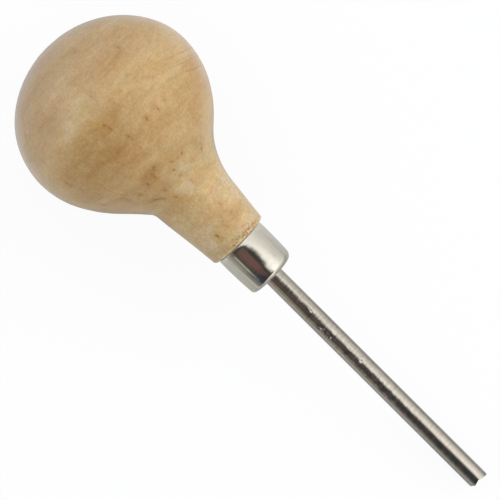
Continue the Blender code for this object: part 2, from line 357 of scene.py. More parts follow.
# The rest of the tent: grey levels by the same degrees, its colour behind the tool, and the smooth
# steps along the tool that lead to that colour and away from the tent overhead
TENT_FRONT = ((-90, 0.5), (-9, 0.9), (18, 1.1), (90, 0.7))
TENT_BACK = (1.0, 1.08, 1.28, 1.0)
TENT_BEHIND = (-5, -20)
TENT_BEYOND = (52, 42)

# Near edge of the tent overhead, in degrees along the tool: it rises on both sides of its middle
EDGE_MIDDLE = -55
EDGE_WIDTH = 65
EDGE_LOW = -6.0
EDGE_RISE = 20.0
EDGE_HIGH = 14.0
EDGE_SOFT = (-4, 4)

# The tent overhead, in degrees across the tool and along it; stations run along and bend with the
# degrees across. Its bands lean to one side by steps along the tool, and widen towards the tip
STATION_BEND = 0.0016
LEAN_STEPS = ((17.2, 18.6, 9, 2), (20.5, 23.5, 0, -16), (24, 25.5, 0, 15))
LEAN_FROM = (13.5, 17.2)
LEAN_SIDES = ((-15, 5), (70, 40))
WIDEN_STATIONS = (20, 22.5, 0, 13)
WIDEN_SIDES = (-20, -35)

# Tints of the tent: warm, cold and bright at the tip, with their smooth steps across and by station
TENT_TINTS = (
    ((1.04, 0.99, 0.88, 1.0), ((-90, -70), (-40, -52)), ()),
    ((0.74, 0.92, 1.34, 1.0), ((-8, -25), (-80, -62)), ((19.5, 22.5),)),
    ((1.20, 1.20, 1.21, 1.0), ((5, 20),), ((21.5, 23.5),)),
)

# Dim warm middle of the opening, and a streak of light beside it
OPENING_GLOW = (0.150, 0.106, 0.099, 1.0)
OPENING_SIDES = ((-54, -42), (-2, -12))
OPENING_FROM = (8, 13)
OPENING_TO = (23, 18.5)
OPENING_NOISE = (9.0, 2.0)
OPENING_CLOUD = (0.35, 0.60, 0.7, 1.0)
STREAK = (0.62, 0.59, 0.50, 1.0)
STREAK_ACROSS = -62.5
STREAK_WIDTH = (4.0, 0.8)
STREAK_REACH = ((7, 10), (18, 14))

# Warm card above the ferrule: half sizes with their soft edges in metres, and folds per metre
CARD_GLOW = (0.205, 0.103, 0.095, 1.0)
CARD_PLACE = (0.0085, -0.0165, 0.0500)
CARD_ALONG = (0.0125, 0.0030)
CARD_ACROSS = (0.0150, 0.0050)
CARD_FOLDS = ((70, 230, 0), 2.0)
CARD_SHADES = (0.40, 0.58, 0.40, 1.0)


class Tree:
    """Short forms for building a node tree; most of them return an output socket."""

    def __init__(self, tree):
        self.tree = tree
        self.tree.nodes.clear()

    def node(self, kind, sockets, **settings):
        made = self.tree.nodes.new(kind)
        for name, value in settings.items():
            setattr(made, name, value)
        for key, value in sockets.items():
            self.feed(made.inputs[key], value)
        return made

    def feed(self, socket, value):
        if isinstance(value, bpy.types.NodeSocket):
            self.tree.links.new(value, socket)
        else:
            socket.default_value = value

    def math(self, operation, *values, clamp=False):
        sockets = dict(enumerate(values))
        made = self.node("ShaderNodeMath", sockets, operation=operation, use_clamp=clamp)
        return made.outputs[0]

    def apart(self, value, middle):
        return self.math("ABSOLUTE", self.math("SUBTRACT", value, middle))

    def vector(self, operation, *values, output=0):
        sockets = dict(enumerate(values))
        made = self.node("ShaderNodeVectorMath", sockets, operation=operation)
        return made.outputs[output]

    def scale(self, vector, factor):
        sockets = {"Vector": vector, "Scale": factor}
        return self.node("ShaderNodeVectorMath", sockets, operation="SCALE").outputs[0]

    def dot(self, first, second):
        return self.vector("DOT_PRODUCT", first, second, output="Value")

    def length(self, vector):
        return self.vector("LENGTH", vector, output="Value")

    def split(self, vector):
        return self.node("ShaderNodeSeparateXYZ", {0: vector}).outputs

    def join(self, x, y, z):
        return self.node("ShaderNodeCombineXYZ", {0: x, 1: y, 2: z}).outputs[0]

    def noise(self, vector, scale, detail=2.0, roughness=0.5, distortion=0.0, output=0):
        return self.node("ShaderNodeTexNoise", {
            "Vector": vector, "Scale": scale, "Detail": detail,
            "Roughness": roughness, "Distortion": distortion,
        }).outputs[output]

    def grain(self, vector, stretch, *detail):
        """Noise stretched along the axes."""
        return self.noise(self.vector("MULTIPLY", vector, stretch), 1.0, *detail)

    def wobble(self, vector, scale, reach):
        """The vector pushed about by noise, by up to half the reach each way."""
        drift = self.noise(vector, scale, output="Color")
        push = self.vector("SUBTRACT", drift, (0.5, 0.5, 0.5))
        return self.vector("ADD", vector, self.scale(push, reach))

    def scatter(self, vector, stretch, reach):
        """1 at the seeds of a stretched cell pattern, falling to 0 at the reach."""
        spots = self.vector("MULTIPLY", vector, stretch)
        cells = self.node("ShaderNodeTexVoronoi", {"Vector": spots, "Scale": 1.0})
        return self.span(cells.outputs["Distance"], reach, 0.0)

    def span(self, value, low, high, to_low=0.0, to_high=1.0, smooth=True):
        """A step from one level to another as the value goes from low to high."""
        kind = "SMOOTHSTEP" if smooth else "LINEAR"
        made = self.node("ShaderNodeMapRange", {
            "Value": value, "From Min": low, "From Max": high, "To Min": to_low, "To Max": to_high,
        }, interpolation_type=kind)
        return made.outputs[0]

    def within(self, *steps):
        """Product of smooth steps, each given as a value and its span."""
        share = 1.0
        for value, span in steps:
            share = self.math("MULTIPLY", share, self.span(value, *span))
        return share

    def blend(self, factor, first, second, mode="MIX"):
        """Blend of two colours: inputs 6 and 7 of a Mix node, with the result at output 2."""
        sockets = {0: factor, 6: first, 7: second}
        made = self.node("ShaderNodeMix", sockets, data_type="RGBA", blend_type=mode)
        return made.outputs[2]

    def tint(self, colour, share, shade):
        """The colour multiplied by a share of a shade."""
        return self.vector("MULTIPLY", colour, self.blend(share, WHITE, shade))

    def ramp(self, value, stops):
        made = self.node("ShaderNodeValToRGB", {0: value})
        band = made.color_ramp
        while len(band.elements) < len(stops):
            band.elements.new(1.0)
        for element, (place, colour) in zip(band.elements, stops):
            element.position = place
            element.color = colour
        return made.outputs[0]

    def bump(self, height, depth, under=None):
        sockets = {"Height": height, "Distance": depth, "Strength": 1.0}
        if under is not None:
            sockets["Normal"] = under
        return self.node("ShaderNodeBump", sockets).outputs[0]


def srgb(red, green, blue):
    """Linear colour from 8-bit screen values."""
    def linear(value):
        share = value / 255
        return share / 12.92 if share <= 0.04045 else ((share + 0.055) / 1.055) ** 2.4
    return (linear(red), linear(green), linear(blue), 1.0)


def tool_frame(frame):
    """Matrix from the tool's own axis to the row frame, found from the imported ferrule."""
    mount = next(m for m in frame["record"]["mounts"] if m["name"] == "ferrule_nose")
    along = -Vector(mount["axis"]).normalized()
    across = Vector((0.0, 1.0, 0.0))
    up = across.cross(along)
    points = [v.co for v in frame["nodes"]["ferrule"].data.vertices]

    def middle(direction):
        reach = [p.dot(direction) for p in points]
        return (min(reach) + max(reach)) / 2

    mouth = max(p.dot(along) for p in points)
    origin = up * middle(up) + across * middle(across) + along * (mouth + FIT_GAP)
    turn = Matrix((up, across, along)).transposed()
    return Matrix.Translation(origin) @ turn.to_4x4()


def polar(radius, angle, height):
    """Point at a distance from the tool's axis, at a turn and a height."""
    return (radius * math.cos(angle), radius * math.sin(angle), height)


def arc(centre, radii, start, end, steps):
    """Points of an elliptical arc as (radius, height) pairs, both ends included."""
    turns = [start + (end - start) * step / steps for step in range(steps + 1)]
    return [(centre[0] + radii[0] * math.cos(t), centre[1] + radii[1] * math.sin(t)) for t in turns]


def round_arc(centre, radius, start, end, steps):
    """Points of a circular arc as (radius, height) pairs, both ends included."""
    return arc(centre, (radius, radius), start, end, steps)


def straight(start, end, steps):
    """Points strictly between two (radius, height) pairs."""
    run, rise = end[0] - start[0], end[1] - start[1]
    shares = [step / steps for step in range(1, steps)]
    return [(start[0] + run * share, start[1] + rise * share) for share in shares]


def ease(value, low, high):
    """Smooth step from 0 at low to 1 at high."""
    share = min(max((value - low) / (high - low), 0.0), 1.0)
    return share * share * (3 - 2 * share)


def skin(name, rings, place, material):
    """Smooth mesh through equal rings; a ring that lies on the axis becomes one point."""
    sides = len(rings[0])
    faces = []
    for row in range(len(rings) - 1):
        low, high = row * sides, (row + 1) * sides
        for i in range(sides):
            j = (i + 1) % sides
            faces.append((low + i, low + j, high + j, high + i))
    mesh = bpy.data.meshes.new(name)
    mesh.from_pydata([point for ring in rings for point in ring], [], faces)
    return settle(name, mesh, place, material)


def settle(name, mesh, place, material):
    """Weld and shade a mesh, and lay it in the row frame as a piece."""
    shape = bmesh.new()
    shape.from_mesh(mesh)
    bmesh.ops.remove_doubles(shape, verts=shape.verts, dist=MERGE)
    bmesh.ops.recalc_face_normals(shape, faces=shape.faces)
    shape.to_mesh(mesh)
    shape.free()
    mesh.shade_smooth()
    mesh.set_sharp_from_angle(angle=SHARP_ANGLE)
    mesh.materials.append(material)
    mesh.transform(place)
    piece = bpy.data.objects.new(name, mesh)
    bpy.context.scene.collection.objects.link(piece)
    return piece


def neck_corner(flank_top):
    """Where the flank's line meets the neck's line, as (radius, height)."""
    reach = NECK_RADIUS - flank_top[0] + flank_top[1] * math.tan(FLANK_ANGLE)
    height = reach / (math.tan(FLANK_ANGLE) - math.tan(NECK_TAPER))
    return NECK_RADIUS + height * math.tan(NECK_TAPER), height


def handle_outline(angle):
    """Outline of the handle on one side, from the dome's top round to the end of the bore."""
    centre = (0.0, BALL_TO_SHOULDER)
    leaving = math.atan(math.tan(FLANK_ANGLE) * BELLY_HEIGHT / BALL_RADIUS)
    dome = arc(centre, (BALL_RADIUS, DOME_HEIGHT), math.pi / 2, 0.0, DOME_STEPS)
    dome[0] = (0.0, dome[0][1])
    belly = arc(centre, (BALL_RADIUS, BELLY_HEIGHT), 0.0, -leaving, BELLY_STEPS)[1:]
    fillet = FILLET_MEAN + FILLET_SWING * math.sin(angle)
    corner = neck_corner(belly[-1])
    run = fillet * math.tan((FLANK_ANGLE - NECK_TAPER) / 2)
    hollow_r = corner[0] + run * math.sin(FLANK_ANGLE) + fillet * math.cos(FLANK_ANGLE)
    hollow_z = corner[1] + run * math.cos(FLANK_ANGLE) - fillet * math.sin(FLANK_ANGLE)
    turns = (math.pi - FLANK_ANGLE, math.pi - NECK_TAPER)
    hollow = round_arc((hollow_r, hollow_z), fillet, *turns, FILLET_STEPS)
    edge_r = NECK_RADIUS + SHOULDER_ROUND * (math.tan(NECK_TAPER) - 1 / math.cos(NECK_TAPER))
    turns = (-NECK_TAPER, -math.pi / 2)
    edge = round_arc((edge_r, SHOULDER_ROUND), SHOULDER_ROUND, *turns, EDGE_STEPS)
    flank = straight(belly[-1], hollow[0], FLANK_STEPS)
    neck = straight(hollow[-1], edge[0], NECK_STEPS)
    return dome + belly + flank + hollow + neck + edge + tenon_outline(edge[-1])


def tenon_outline(shoulder):
    """Shoulder face, tenon and bore, ending on the axis."""
    tenon = FERRULE_RADIUS - FERRULE_WALL - FIT_GAP
    end = -(FERRULE_LENGTH - FERRULE_WALL - FIT_GAP)
    bore = SHAFT_RADIUS + FIT_GAP
    depth = ROD_DEPTH + TANG_LENGTH + FIT_GAP
    corners = [(tenon, 0.0), (tenon, end), (bore, end), (bore, depth), (0.0, depth)]
    return straight(shoulder, corners[0], SHOULDER_STEPS) + corners


def handle_shift(height):
    """How far the wood lies to the +Y side of the tool's axis at a height."""
    ball = BALL_SHIFT * ease(height, SHIFT_FROM, SHIFT_TO)
    return NECK_SHIFT + ball - DOME_SHIFT * ease(height, DOME_FROM, DOME_TO)


def hand_finish(point):
    """Move a point of the turned handle as sanding, an off-centre ball and torn end fibres do."""
    x, y, z = point
    radius = math.hypot(x, y)
    if radius < SHAFT_RADIUS + 2 * FIT_GAP or z < -MERGE:
        return point
    swell = noise.noise(Vector(point) / SANDING_SIZE) * SANDING_DEPTH * ease(z, 0.0, SANDING_FROM)
    swell += FLANK_SWELL * (1 - ease(abs(z - FLANK_HEIGHT), 0.0, FLANK_REACH))
    rough = noise.turbulence(Vector(point) / CHIP_SIZE, CHIP_OCTAVES, True)
    torn = max(0.0, rough - CHIP_LEVEL)
    torn *= CHIP_DEPTH * (1 - ease(z, 0.0, CHIP_REACH)) * ease(radius, FERRULE_RADIUS, NECK_RADIUS)
    grow = (radius + swell - torn) / radius
    shift = handle_shift(z)
    if z < SHOULDER_ROUND:
        shift *= ease(radius, FERRULE_RADIUS, NECK_RADIUS - SHOULDER_ROUND)
    return (x * grow, y * grow + shift, z + torn)


def make_handle(place, material):
    """Ball, neck, tenon and bore in one piece."""
    sides = [math.tau * i / HANDLE_SIDES for i in range(HANDLE_SIDES)]
    outlines = [handle_outline(angle) for angle in sides]
    rings = []
    for row in range(len(outlines[0])):
        ring = []
        for angle, outline in zip(sides, outlines):
            radius, height = outline[row]
            ring.append(hand_finish(polar(radius, angle, height)))
        rings.append(ring)
    return skin("wood_handle", rings, place, material)


def ferrule_side(inset, height):
    """Radius of the ferrule's tapered, crowned side at a height, moved inwards by an inset."""
    share = min(max(-height / FERRULE_LENGTH, 0.0), 1.0)
    crown = FERRULE_CROWN * 4 * share * (1 - share)
    roll = MOUTH_ROLL * max(0.0, 1 + height / MOUTH_REACH) ** 2
    side = FERRULE_RADIUS + height * math.tan(FERRULE_TAPER) + crown - roll
    return side - inset / math.cos(FERRULE_TAPER)


def ferrule_corner(inset, angle):
    """Front corner of the ferrule, moved inwards by an inset: from its side round to its nose."""
    corner = FERRULE_CORNER + CORNER_SWING * math.sin(angle) - inset
    height = inset - FERRULE_LENGTH + corner
    radius = ferrule_side(inset, height) - corner / math.cos(FERRULE_TAPER)
    return round_arc((radius, height), corner, -FERRULE_TAPER, -math.pi / 2, CORNER_STEPS)


def ferrule_outline(angle):
    """Closed section of the drawn cup on one side, from the lip round the nose and back inside."""
    lip_z = -SEAM - FERRULE_LIP
    lip_r = ferrule_side(FERRULE_LIP, lip_z)
    lip = round_arc((lip_r, lip_z), FERRULE_LIP, math.pi / 2, 0.0, LIP_STEPS)
    outside = ferrule_corner(0.0, angle)
    inside = ferrule_corner(FERRULE_WALL, angle)[::-1]
    hole = SHAFT_RADIUS + FIT_GAP / 2
    edge_at = (hole + FERRULE_LIP, FERRULE_LIP - FERRULE_LENGTH)
    edge = round_arc(edge_at, FERRULE_LIP, -math.pi / 2, -math.pi, HOLE_STEPS)
    floor = (hole, FERRULE_WALL - FERRULE_LENGTH)
    mouth = (ferrule_side(FERRULE_WALL, -SEAM), -SEAM)
    nose = straight(outside[-1], edge[0], NOSE_STEPS)
    heights = [height for _, height in straight(lip[-1], outside[0], SIDE_STEPS)]
    side = [(ferrule_side(0.0, height), height) for height in heights]
    return lip + side + outside + nose + edge + [floor, *inside, mouth]


def make_ferrule(place, material):
    """Drawn cup with a rolled lip, an uneven side and a hole for the shaft, seated a bit askew."""
    sides = [math.tau * i / FERRULE_SIDES for i in range(FERRULE_SIDES)]
    outlines = [ferrule_outline(angle) for angle in sides]
    lean = Matrix.Rotation(FERRULE_LEAN, 4, "X")
    rings = []
    for row in [*range(len(outlines[0])), 0]:
        ring = []
        for angle, outline in zip(sides, outlines):
            radius, height = outline[row]
            point = Vector(polar(radius, angle, height))
            dent = noise.noise(point / FERRULE_DENT_SIZE) * FERRULE_DENT
            grow = 1 + dent / radius
            ring.append(lean @ Vector((point.x * grow, point.y * grow, height)))
        rings.append(ring)
    return skin("nickel_ferrule", rings, place, material)


def tip_height(across):
    """Height of the working end above its lowest land, at a distance across the notch."""
    notch = NOTCH_DEPTH - abs(across) * math.tan(NOTCH_SLOPE)
    relief = (-across - RELIEF_OFFSET) * math.tan(RELIEF_SLOPE)
    return max(0.0, notch, relief)


def tip_turns():
    """Angles of the shaft's sides: even, with the nearest moved onto each crease of the tip."""
    radius = SHAFT_RADIUS - SHAFT_EDGE
    slopes = math.tan(NOTCH_SLOPE) + math.tan(RELIEF_SLOPE)
    peak = (NOTCH_DEPTH + RELIEF_OFFSET * math.tan(RELIEF_SLOPE)) / slopes
    creases = [0.0, -peak, NOTCH_DEPTH / math.tan(NOTCH_SLOPE)]
    step = math.tau / SHAFT_SIDES
    turns = [-math.pi / 2 + step * i for i in range(SHAFT_SIDES // 2 + 1)]
    for crease in creases:
        turn = math.asin(crease / radius)
        nearest = min(range(len(turns)), key=lambda i: abs(turns[i] - turn))
        turns[nearest] = turn
    return turns + [math.pi - turn for turn in turns[-2:0:-1]]


def tang_point(angle, height, side):
    """Point on a square section of that side."""
    half = side / 2 / max(abs(math.cos(angle)), abs(math.sin(angle)))
    return polar(half, angle, height)


def nicked_rod(angle, height):
    """Point on the rod's side, pressed in where there is a nick."""
    radius = SHAFT_RADIUS
    for centre, turn, along, around, depth in NICKS:
        arc_off = math.remainder(angle - math.radians(turn), math.tau) * SHAFT_RADIUS / MM
        off = math.hypot((height / MM - centre) / along, arc_off / around)
        radius -= depth * MM * (1 - ease(off, 0.0, 1.0))
    return polar(radius, angle, height)


def make_shaft(place, material):
    """Rod with a notched and relieved tip at one end and a square tang at the other."""
    turns = tip_turns()
    face = SHAFT_RADIUS - SHAFT_EDGE
    ends = [TIP_Z + tip_height(face * math.sin(a)) for a in turns]
    rim = [polar(face, a, end) for a, end in zip(turns, ends)]
    rings = [rim, [polar(SHAFT_RADIUS, a, end + SHAFT_EDGE) for a, end in zip(turns, ends)]]
    start = TIP_Z + NOTCH_DEPTH + 2 * SHAFT_EDGE
    for step in range(SHAFT_STEPS + 1):
        height = start + (ROD_DEPTH - start) * step / SHAFT_STEPS
        rings.append([nicked_rod(a, height) for a in turns])
    for share in TANG_RINGS:
        side = TANG_SIDE + (TANG_POINT_SIDE - TANG_SIDE) * share
        rings.append([tang_point(a, ROD_DEPTH + TANG_LENGTH * share, side) for a in turns])
    rings.append([(0.0, 0.0, ROD_DEPTH + TANG_LENGTH)] * len(turns))
    shaft = skin("steel_shaft", rings, place, material)
    close_tip(shaft.data, [place @ Vector(point) for point in rim])
    return shaft


def close_tip(mesh, rim):
    """Face the working end with strips across it, each flat as the end only changes along Y."""
    shape = bmesh.new()
    shape.from_mesh(mesh)
    found = [min(shape.verts, key=lambda v: (v.co - point).length_squared) for point in rim]
    count = len(found)
    for i in range(count // 2):
        far = (found[(count - i - 1) % count], found[(count - i) % count])
        corners = dict.fromkeys((found[i], found[i + 1], *far))
        shape.faces.new(list(corners))
    bmesh.ops.recalc_face_normals(shape, faces=shape.faces)
    shape.to_mesh(mesh)
    shape.free()
    mesh.shade_smooth()
    mesh.set_sharp_from_angle(angle=TIP_SHARP_ANGLE)


def new_tree(name):
    """A material with an empty node tree."""
    material = bpy.data.materials.new(name)
    material.use_nodes = True
    return material, Tree(material.node_tree)


def finish_material(tree, **sockets):
    """Principled BSDF and output; the keys are socket names with _ for a space."""
    named = {key.replace("_", " "): value for key, value in sockets.items()}
    shader = tree.node("ShaderNodeBsdfPrincipled", named)
    tree.node("ShaderNodeOutputMaterial", {"Surface": shader.outputs[0]})


def tool_millimetres(tree, place):
    """Place on the tool's own axis in millimetres."""
    return tree.node("ShaderNodeMapping", {
        "Vector": tree.node("ShaderNodeTexCoord", {}).outputs["Object"],
        "Location": place.to_translation(), "Rotation": place.to_euler(), "Scale": (MM, MM, MM),
    }, vector_type="TEXTURE").outputs[0]


def surface_point(height, turn):
    """Point of the finished handle in mm, at a height in mm and a turn in degrees."""
    angle = math.radians(turn)
    outline = handle_outline(angle)
    row = next(i for i, (_, z) in enumerate(outline) if z <= height * MM)
    (wide, top), (narrow, low) = outline[row - 1], outline[row]
    radius = narrow + (wide - narrow) * (height * MM - low) / (top - low)
    angle -= handle_shift(height * MM) * math.cos(angle) / radius
    point = hand_finish(polar(radius, angle, height * MM))
    return Vector(point) / MM


def nearness(tree, spot, centre, along, around):
    """1 at a place on the wood, falling to 0 at its reach along the axis and around it, in mm."""
    offset = tree.vector("SUBTRACT", spot, centre)
    share = tree.length(tree.vector("MULTIPLY", offset, (1 / around, 1 / around, 1 / along)))
    return tree.span(share, 1.0, 0.0)


def stroke(tree, spot, height, turn, length, tilt):
    """Distance from the middle of a short stroke on the wood, 1 at its ends and sides."""
    angle, lean = math.radians(turn), math.radians(tilt)
    outward = Vector((math.cos(angle), math.sin(angle), 0.0))
    sideways = Vector((-math.sin(angle), math.cos(angle), 0.0))
    grain = Vector((0.0, 0.0, 1.0))
    run = grain * math.cos(lean) + sideways * math.sin(lean)
    rest = sideways * math.cos(lean) - grain * math.sin(lean)
    offset = tree.vector("SUBTRACT", spot, surface_point(height, turn))
    axes = (run / length, rest / PORE_WIDTH, outward / PORE_REACH)
    return tree.length(tree.join(*(tree.dot(offset, axis) for axis in axes)))


def wood_pores(tree, spot):
    """Dark pores and cracks, placed ones and sparse stray ones, and the brown round them."""
    bent = tree.wobble(spot, *PORE_BEND)
    pores = tree.math("MULTIPLY", tree.scatter(bent, *STRAY_PORES), STRAY_STRENGTH)
    halo = 0.0
    for height, turn, length, tilt, strength in PORES:
        far = stroke(tree, bent, height, turn, length, tilt)
        dark = tree.span(far, 1.0, 0.0, 0.0, PORE_DEPTH * strength)
        pores = tree.math("MAXIMUM", pores, dark)
        halo = tree.math("MAXIMUM", halo, tree.span(far, *PORE_HALO, 0.0, strength))
    broken = tree.span(tree.noise(spot, *PORE_NOISE), *PORE_BREAKS)
    return tree.math("MULTIPLY", pores, broken), tree.math("MULTIPLY", halo, broken)


def wood_scores(tree, spot, y, z):
    """Thin lines round the turning: a few plain ones on the +Y side and faint ones all round."""
    faint = tree.span(tree.apart(tree.grain(spot, *RING_GRAIN), 0.5), RING_WIDTH, 0.0)
    total = tree.math("MULTIPLY", faint, tree.span(y, *RING_SIDES))
    level = tree.math("MULTIPLY_ADD", tree.math("SUBTRACT", y, SCORE_SIDE), SCORE_TILT, z)
    level = tree.math("SUBTRACT", level, SCORE_WAVER / 2)
    level = tree.math("MULTIPLY_ADD", tree.noise(spot, *WAVER_NOISE), SCORE_WAVER, level)
    worn = tree.within((y, SCORE_SIDES), (tree.noise(spot, *SCORE_NOISE), SCORE_WEAR))
    for height, width, depth in SCORES:
        line = tree.span(tree.apart(level, height), width, 0.0)
        plain = tree.math("MULTIPLY", worn, tree.math("MULTIPLY", line, depth))
        total = tree.math("MAXIMUM", total, plain)
    return total


def wood_patches(tree, spot, rows):
    """Signed sum of broad patches with uneven edges."""
    for bend in PATCH_BENDS:
        spot = tree.wobble(spot, *bend)
    total = 0.0
    for height, turn, along, around, depth in rows:
        reach = (along * PATCH_SPREAD, around * PATCH_SPREAD)
        near = nearness(tree, spot, surface_point(height, turn), *reach)
        total = tree.math("MULTIPLY_ADD", near, depth, total)
    return total


def wood_tears(tree, spot, y, z):
    """Torn fibres along the shoulder, most of them on its +Y side."""
    fibres = tree.grain(tree.wobble(spot, *TEAR_BEND), *TEAR_GRAIN)
    sides = ((y, side) for side in TEAR_SIDES)
    return tree.within((z, TEAR_HEIGHTS), *sides, (fibres, TEAR_LEVELS))


def wood_rim_highlight(tree, spot, z):
    """Painted highlight: a pale, cool, patchy band of colour on the shoulder's rounded edge."""
    return tree.within((tree.noise(spot, *RIM_HIGHLIGHT_NOISE), RIM_HIGHLIGHT_BREAKUP), (z, RIM_HIGHLIGHT_HEIGHTS))


def wood_colour(tree, spot, z, mottle, fibre):
    """Colour of the sound wood: figure, mottling, patches, stains and fibres, paler on the neck."""
    figure = tree.grain(spot, *FIGURE_GRAIN)
    tone = tree.math("MULTIPLY_ADD", figure, FIGURE_DEPTH, TONE_MEAN - FIGURE_DEPTH / 2)
    tone = tree.math("SUBTRACT", tone, MOTTLE_DEPTH / 2)
    tone = tree.math("MULTIPLY_ADD", mottle, MOTTLE_DEPTH, tone)
    tone = tree.math("ADD", tone, tree.span(z, *NECK_FADE, 0.0, NECK_PALER))
    tone = tree.math("SUBTRACT", tone, wood_patches(tree, spot, PATCHES), clamp=True)
    hue = tree.grain(spot, *HUE_GRAIN)
    hue = tree.math("ADD", hue, tree.span(z, *NECK_FADE, 0.0, NECK_COOLER))
    hue = tree.math("SUBTRACT", hue, wood_patches(tree, spot, STAINS), clamp=True)
    blush = tree.grain(spot, *BLUSH_GRAIN)
    colour = tree.ramp(tone, [(place, srgb(*screen)) for place, screen in WOOD_TONES])
    for shift, shades in ((hue, HUE_SHADES), (blush, BLUSH_SHADES), (fibre, FIBRE_SHADES)):
        colour = tree.vector("MULTIPLY", colour, tree.ramp(shift, shades))
    return colour


def wood_material(place):
    """Pale turned hardwood with its pores, turning scores and torn edge, under a satin lacquer."""
    material, tree = new_tree("turned_hardwood")
    spot = tool_millimetres(tree, place)
    _, y, z = tree.split(spot)
    mottle = tree.grain(spot, *MOTTLE_GRAIN)
    fibre = tree.math("SUBTRACT", tree.grain(spot, *FIBRE_GRAIN), 0.5)
    fibre = tree.math("MULTIPLY_ADD", fibre, tree.span(z, *FIBRE_RAISED), 0.5)
    pores, halo = wood_pores(tree, spot)
    scored = wood_scores(tree, spot, y, z)
    torn = wood_tears(tree, spot, y, z)
    colour = wood_colour(tree, spot, z, mottle, fibre)
    # Real marks darken the wood; the rim's tint is a painted highlight
    marks_and_highlight = (
        (scored, SCORE_SHADE), (wood_rim_highlight(tree, spot, z), RIM_HIGHLIGHT), (halo, HALO_SHADE),
        (pores, PORE_SHADE), (torn, TEAR_SHADE),
    )
    for marks, shade in marks_and_highlight:
        colour = tree.tint(colour, marks, shade)
    relief = fibre
    for marks, rise in ((scored, SCORE_RELIEF), (pores, PORE_RELIEF), (torn, TEAR_RELIEF)):
        relief = tree.math("MULTIPLY_ADD", marks, rise, relief)
    finish_material(
        tree, Base_Color=colour, Roughness=tree.span(mottle, *WOOD_ROUGHNESS),
        Specular_IOR_Level=WOOD_SPECULAR, Coat_Weight=LACQUER, Coat_Roughness=LACQUER_ROUGHNESS,
        Normal=tree.bump(relief, WOOD_BUMP),
    )
    return material


def nickel_material(place):
    """Polished nickel plate with fine wear."""
    material, tree = new_tree("nickel_plate")
    spot = tool_millimetres(tree, place)
    cloud = tree.noise(spot, *NICKEL_CLOUD)
    normal = tree.bump(tree.noise(spot, *NICKEL_WAVE), NICKEL_BUMP)
    finish_material(
        tree, Base_Color=tree.ramp(cloud, NICKEL_TONES), Metallic=1.0,
        Roughness=tree.span(cloud, *NICKEL_ROUGHNESS), Normal=normal,
    )
    return material


def steel_material(place):
    """Ground steel with fine marks round the rod, and waves that calm down towards its ends."""
    material, tree = new_tree("ground_steel")
    spot = tool_millimetres(tree, place)
    marks = tree.grain(spot, *STEEL_GRAIN)
    wave = tree.grain(spot, *STEEL_WAVE)
    for calm in STEEL_CALM:
        wave = tree.math("MULTIPLY", wave, tree.span(tree.split(spot)[2], *calm))
    normal = tree.bump(marks, STEEL_BUMP, tree.bump(wave, STEEL_WAVE_BUMP))
    finish_material(
        tree, Base_Color=tree.ramp(marks, STEEL_TONES), Metallic=1.0,
        Roughness=tree.span(marks, *STEEL_ROUGHNESS), Normal=normal,
    )
    return material


def grey_ramp(tree, value, stops):
    """Grey levels at given values, in a straight line between them."""
    low, high = stops[0][0], stops[-1][0]
    shares = [((place - low) / (high - low), (level, level, level, 1.0)) for place, level in stops]
    return tree.ramp(tree.span(value, low, high, smooth=False), shares)


def floor_glow(tree, ball):
    """Glow of the table that gloss mirrors, with a painted shadow of the ball dimming it round the
    place where the ball rests.
    """
    there = tree.node("ShaderNodeTexCoord", {}).outputs["Object"]
    x, y, _ = tree.split(there)
    low, high = FLOOR_GLOW[0][0], FLOOR_GLOW[-1][0]
    limit = tree.span(tree.math("ABSOLUTE", y), *GLOW_FADE, high, 0.0)
    share = tree.span(tree.math("MINIMUM", x, limit), low, high, smooth=False)
    sides = []
    for side in (1, 2):
        stops = [((row[0] - low) / (high - low), (*row[side], 1.0)) for row in FLOOR_GLOW]
        sides.append(tree.ramp(share, stops))
    glow = tree.blend(tree.span(y, *GLOW_SIDES), *sides)
    away = tree.length(tree.vector("SUBTRACT", there, ball))
    return tree.scale(glow, tree.span(away, *CONTACT_REACH, CONTACT, 1.0))


def floor_material(ball):
    """Matt table: the camera sees it white with the tool's shadow, and gloss mirrors its glow."""
    material, tree = new_tree("studio_floor")
    path = tree.node("ShaderNodeLightPath", {}).outputs
    seen = tree.math("MAXIMUM", path["Is Camera Ray"], path["Is Transmission Ray"])
    matt = tree.node("ShaderNodeBsdfDiffuse", {"Color": tree.blend(seen, FLOOR_TONE, WHITE)})
    glow = {"Color": floor_glow(tree, ball), "Strength": path["Is Glossy Ray"]}
    gleam = tree.node("ShaderNodeEmission", glow)
    table = tree.node("ShaderNodeAddShader", {0: matt.outputs[0], 1: gleam.outputs[0]})
    white = tree.node("ShaderNodeEmission", {"Color": WHITE, "Strength": 1.0})
    lift = tree.math("MULTIPLY", seen, FLOOR_LIFT)
    mixed = {0: lift, 1: table.outputs[0], 2: white.outputs[0]}
    surface = tree.node("ShaderNodeMixShader", mixed)
    tree.node("ShaderNodeOutputMaterial", {"Surface": surface.outputs[0]})
    return material


def flat_sheet(name, size, material):
    """Square level sheet."""
    shape = bmesh.new()
    bmesh.ops.create_grid(shape, x_segments=1, y_segments=1, size=size / 2)
    mesh = bpy.data.meshes.new(name)
    shape.to_mesh(mesh)
    shape.free()
    mesh.materials.append(material)
    sheet = bpy.data.objects.new(name, mesh)
    bpy.context.scene.collection.objects.link(sheet)
    return sheet


def make_floor(place):
    """Large plain floor just under the tool."""
    ball = place @ Vector((0.0, BALL_SHIFT, BALL_TO_SHOULDER))
    floor = flat_sheet("floor", FLOOR_SIZE, floor_material((ball.x, ball.y, 0.0)))
    floor.location.z = -FLOOR_DROP


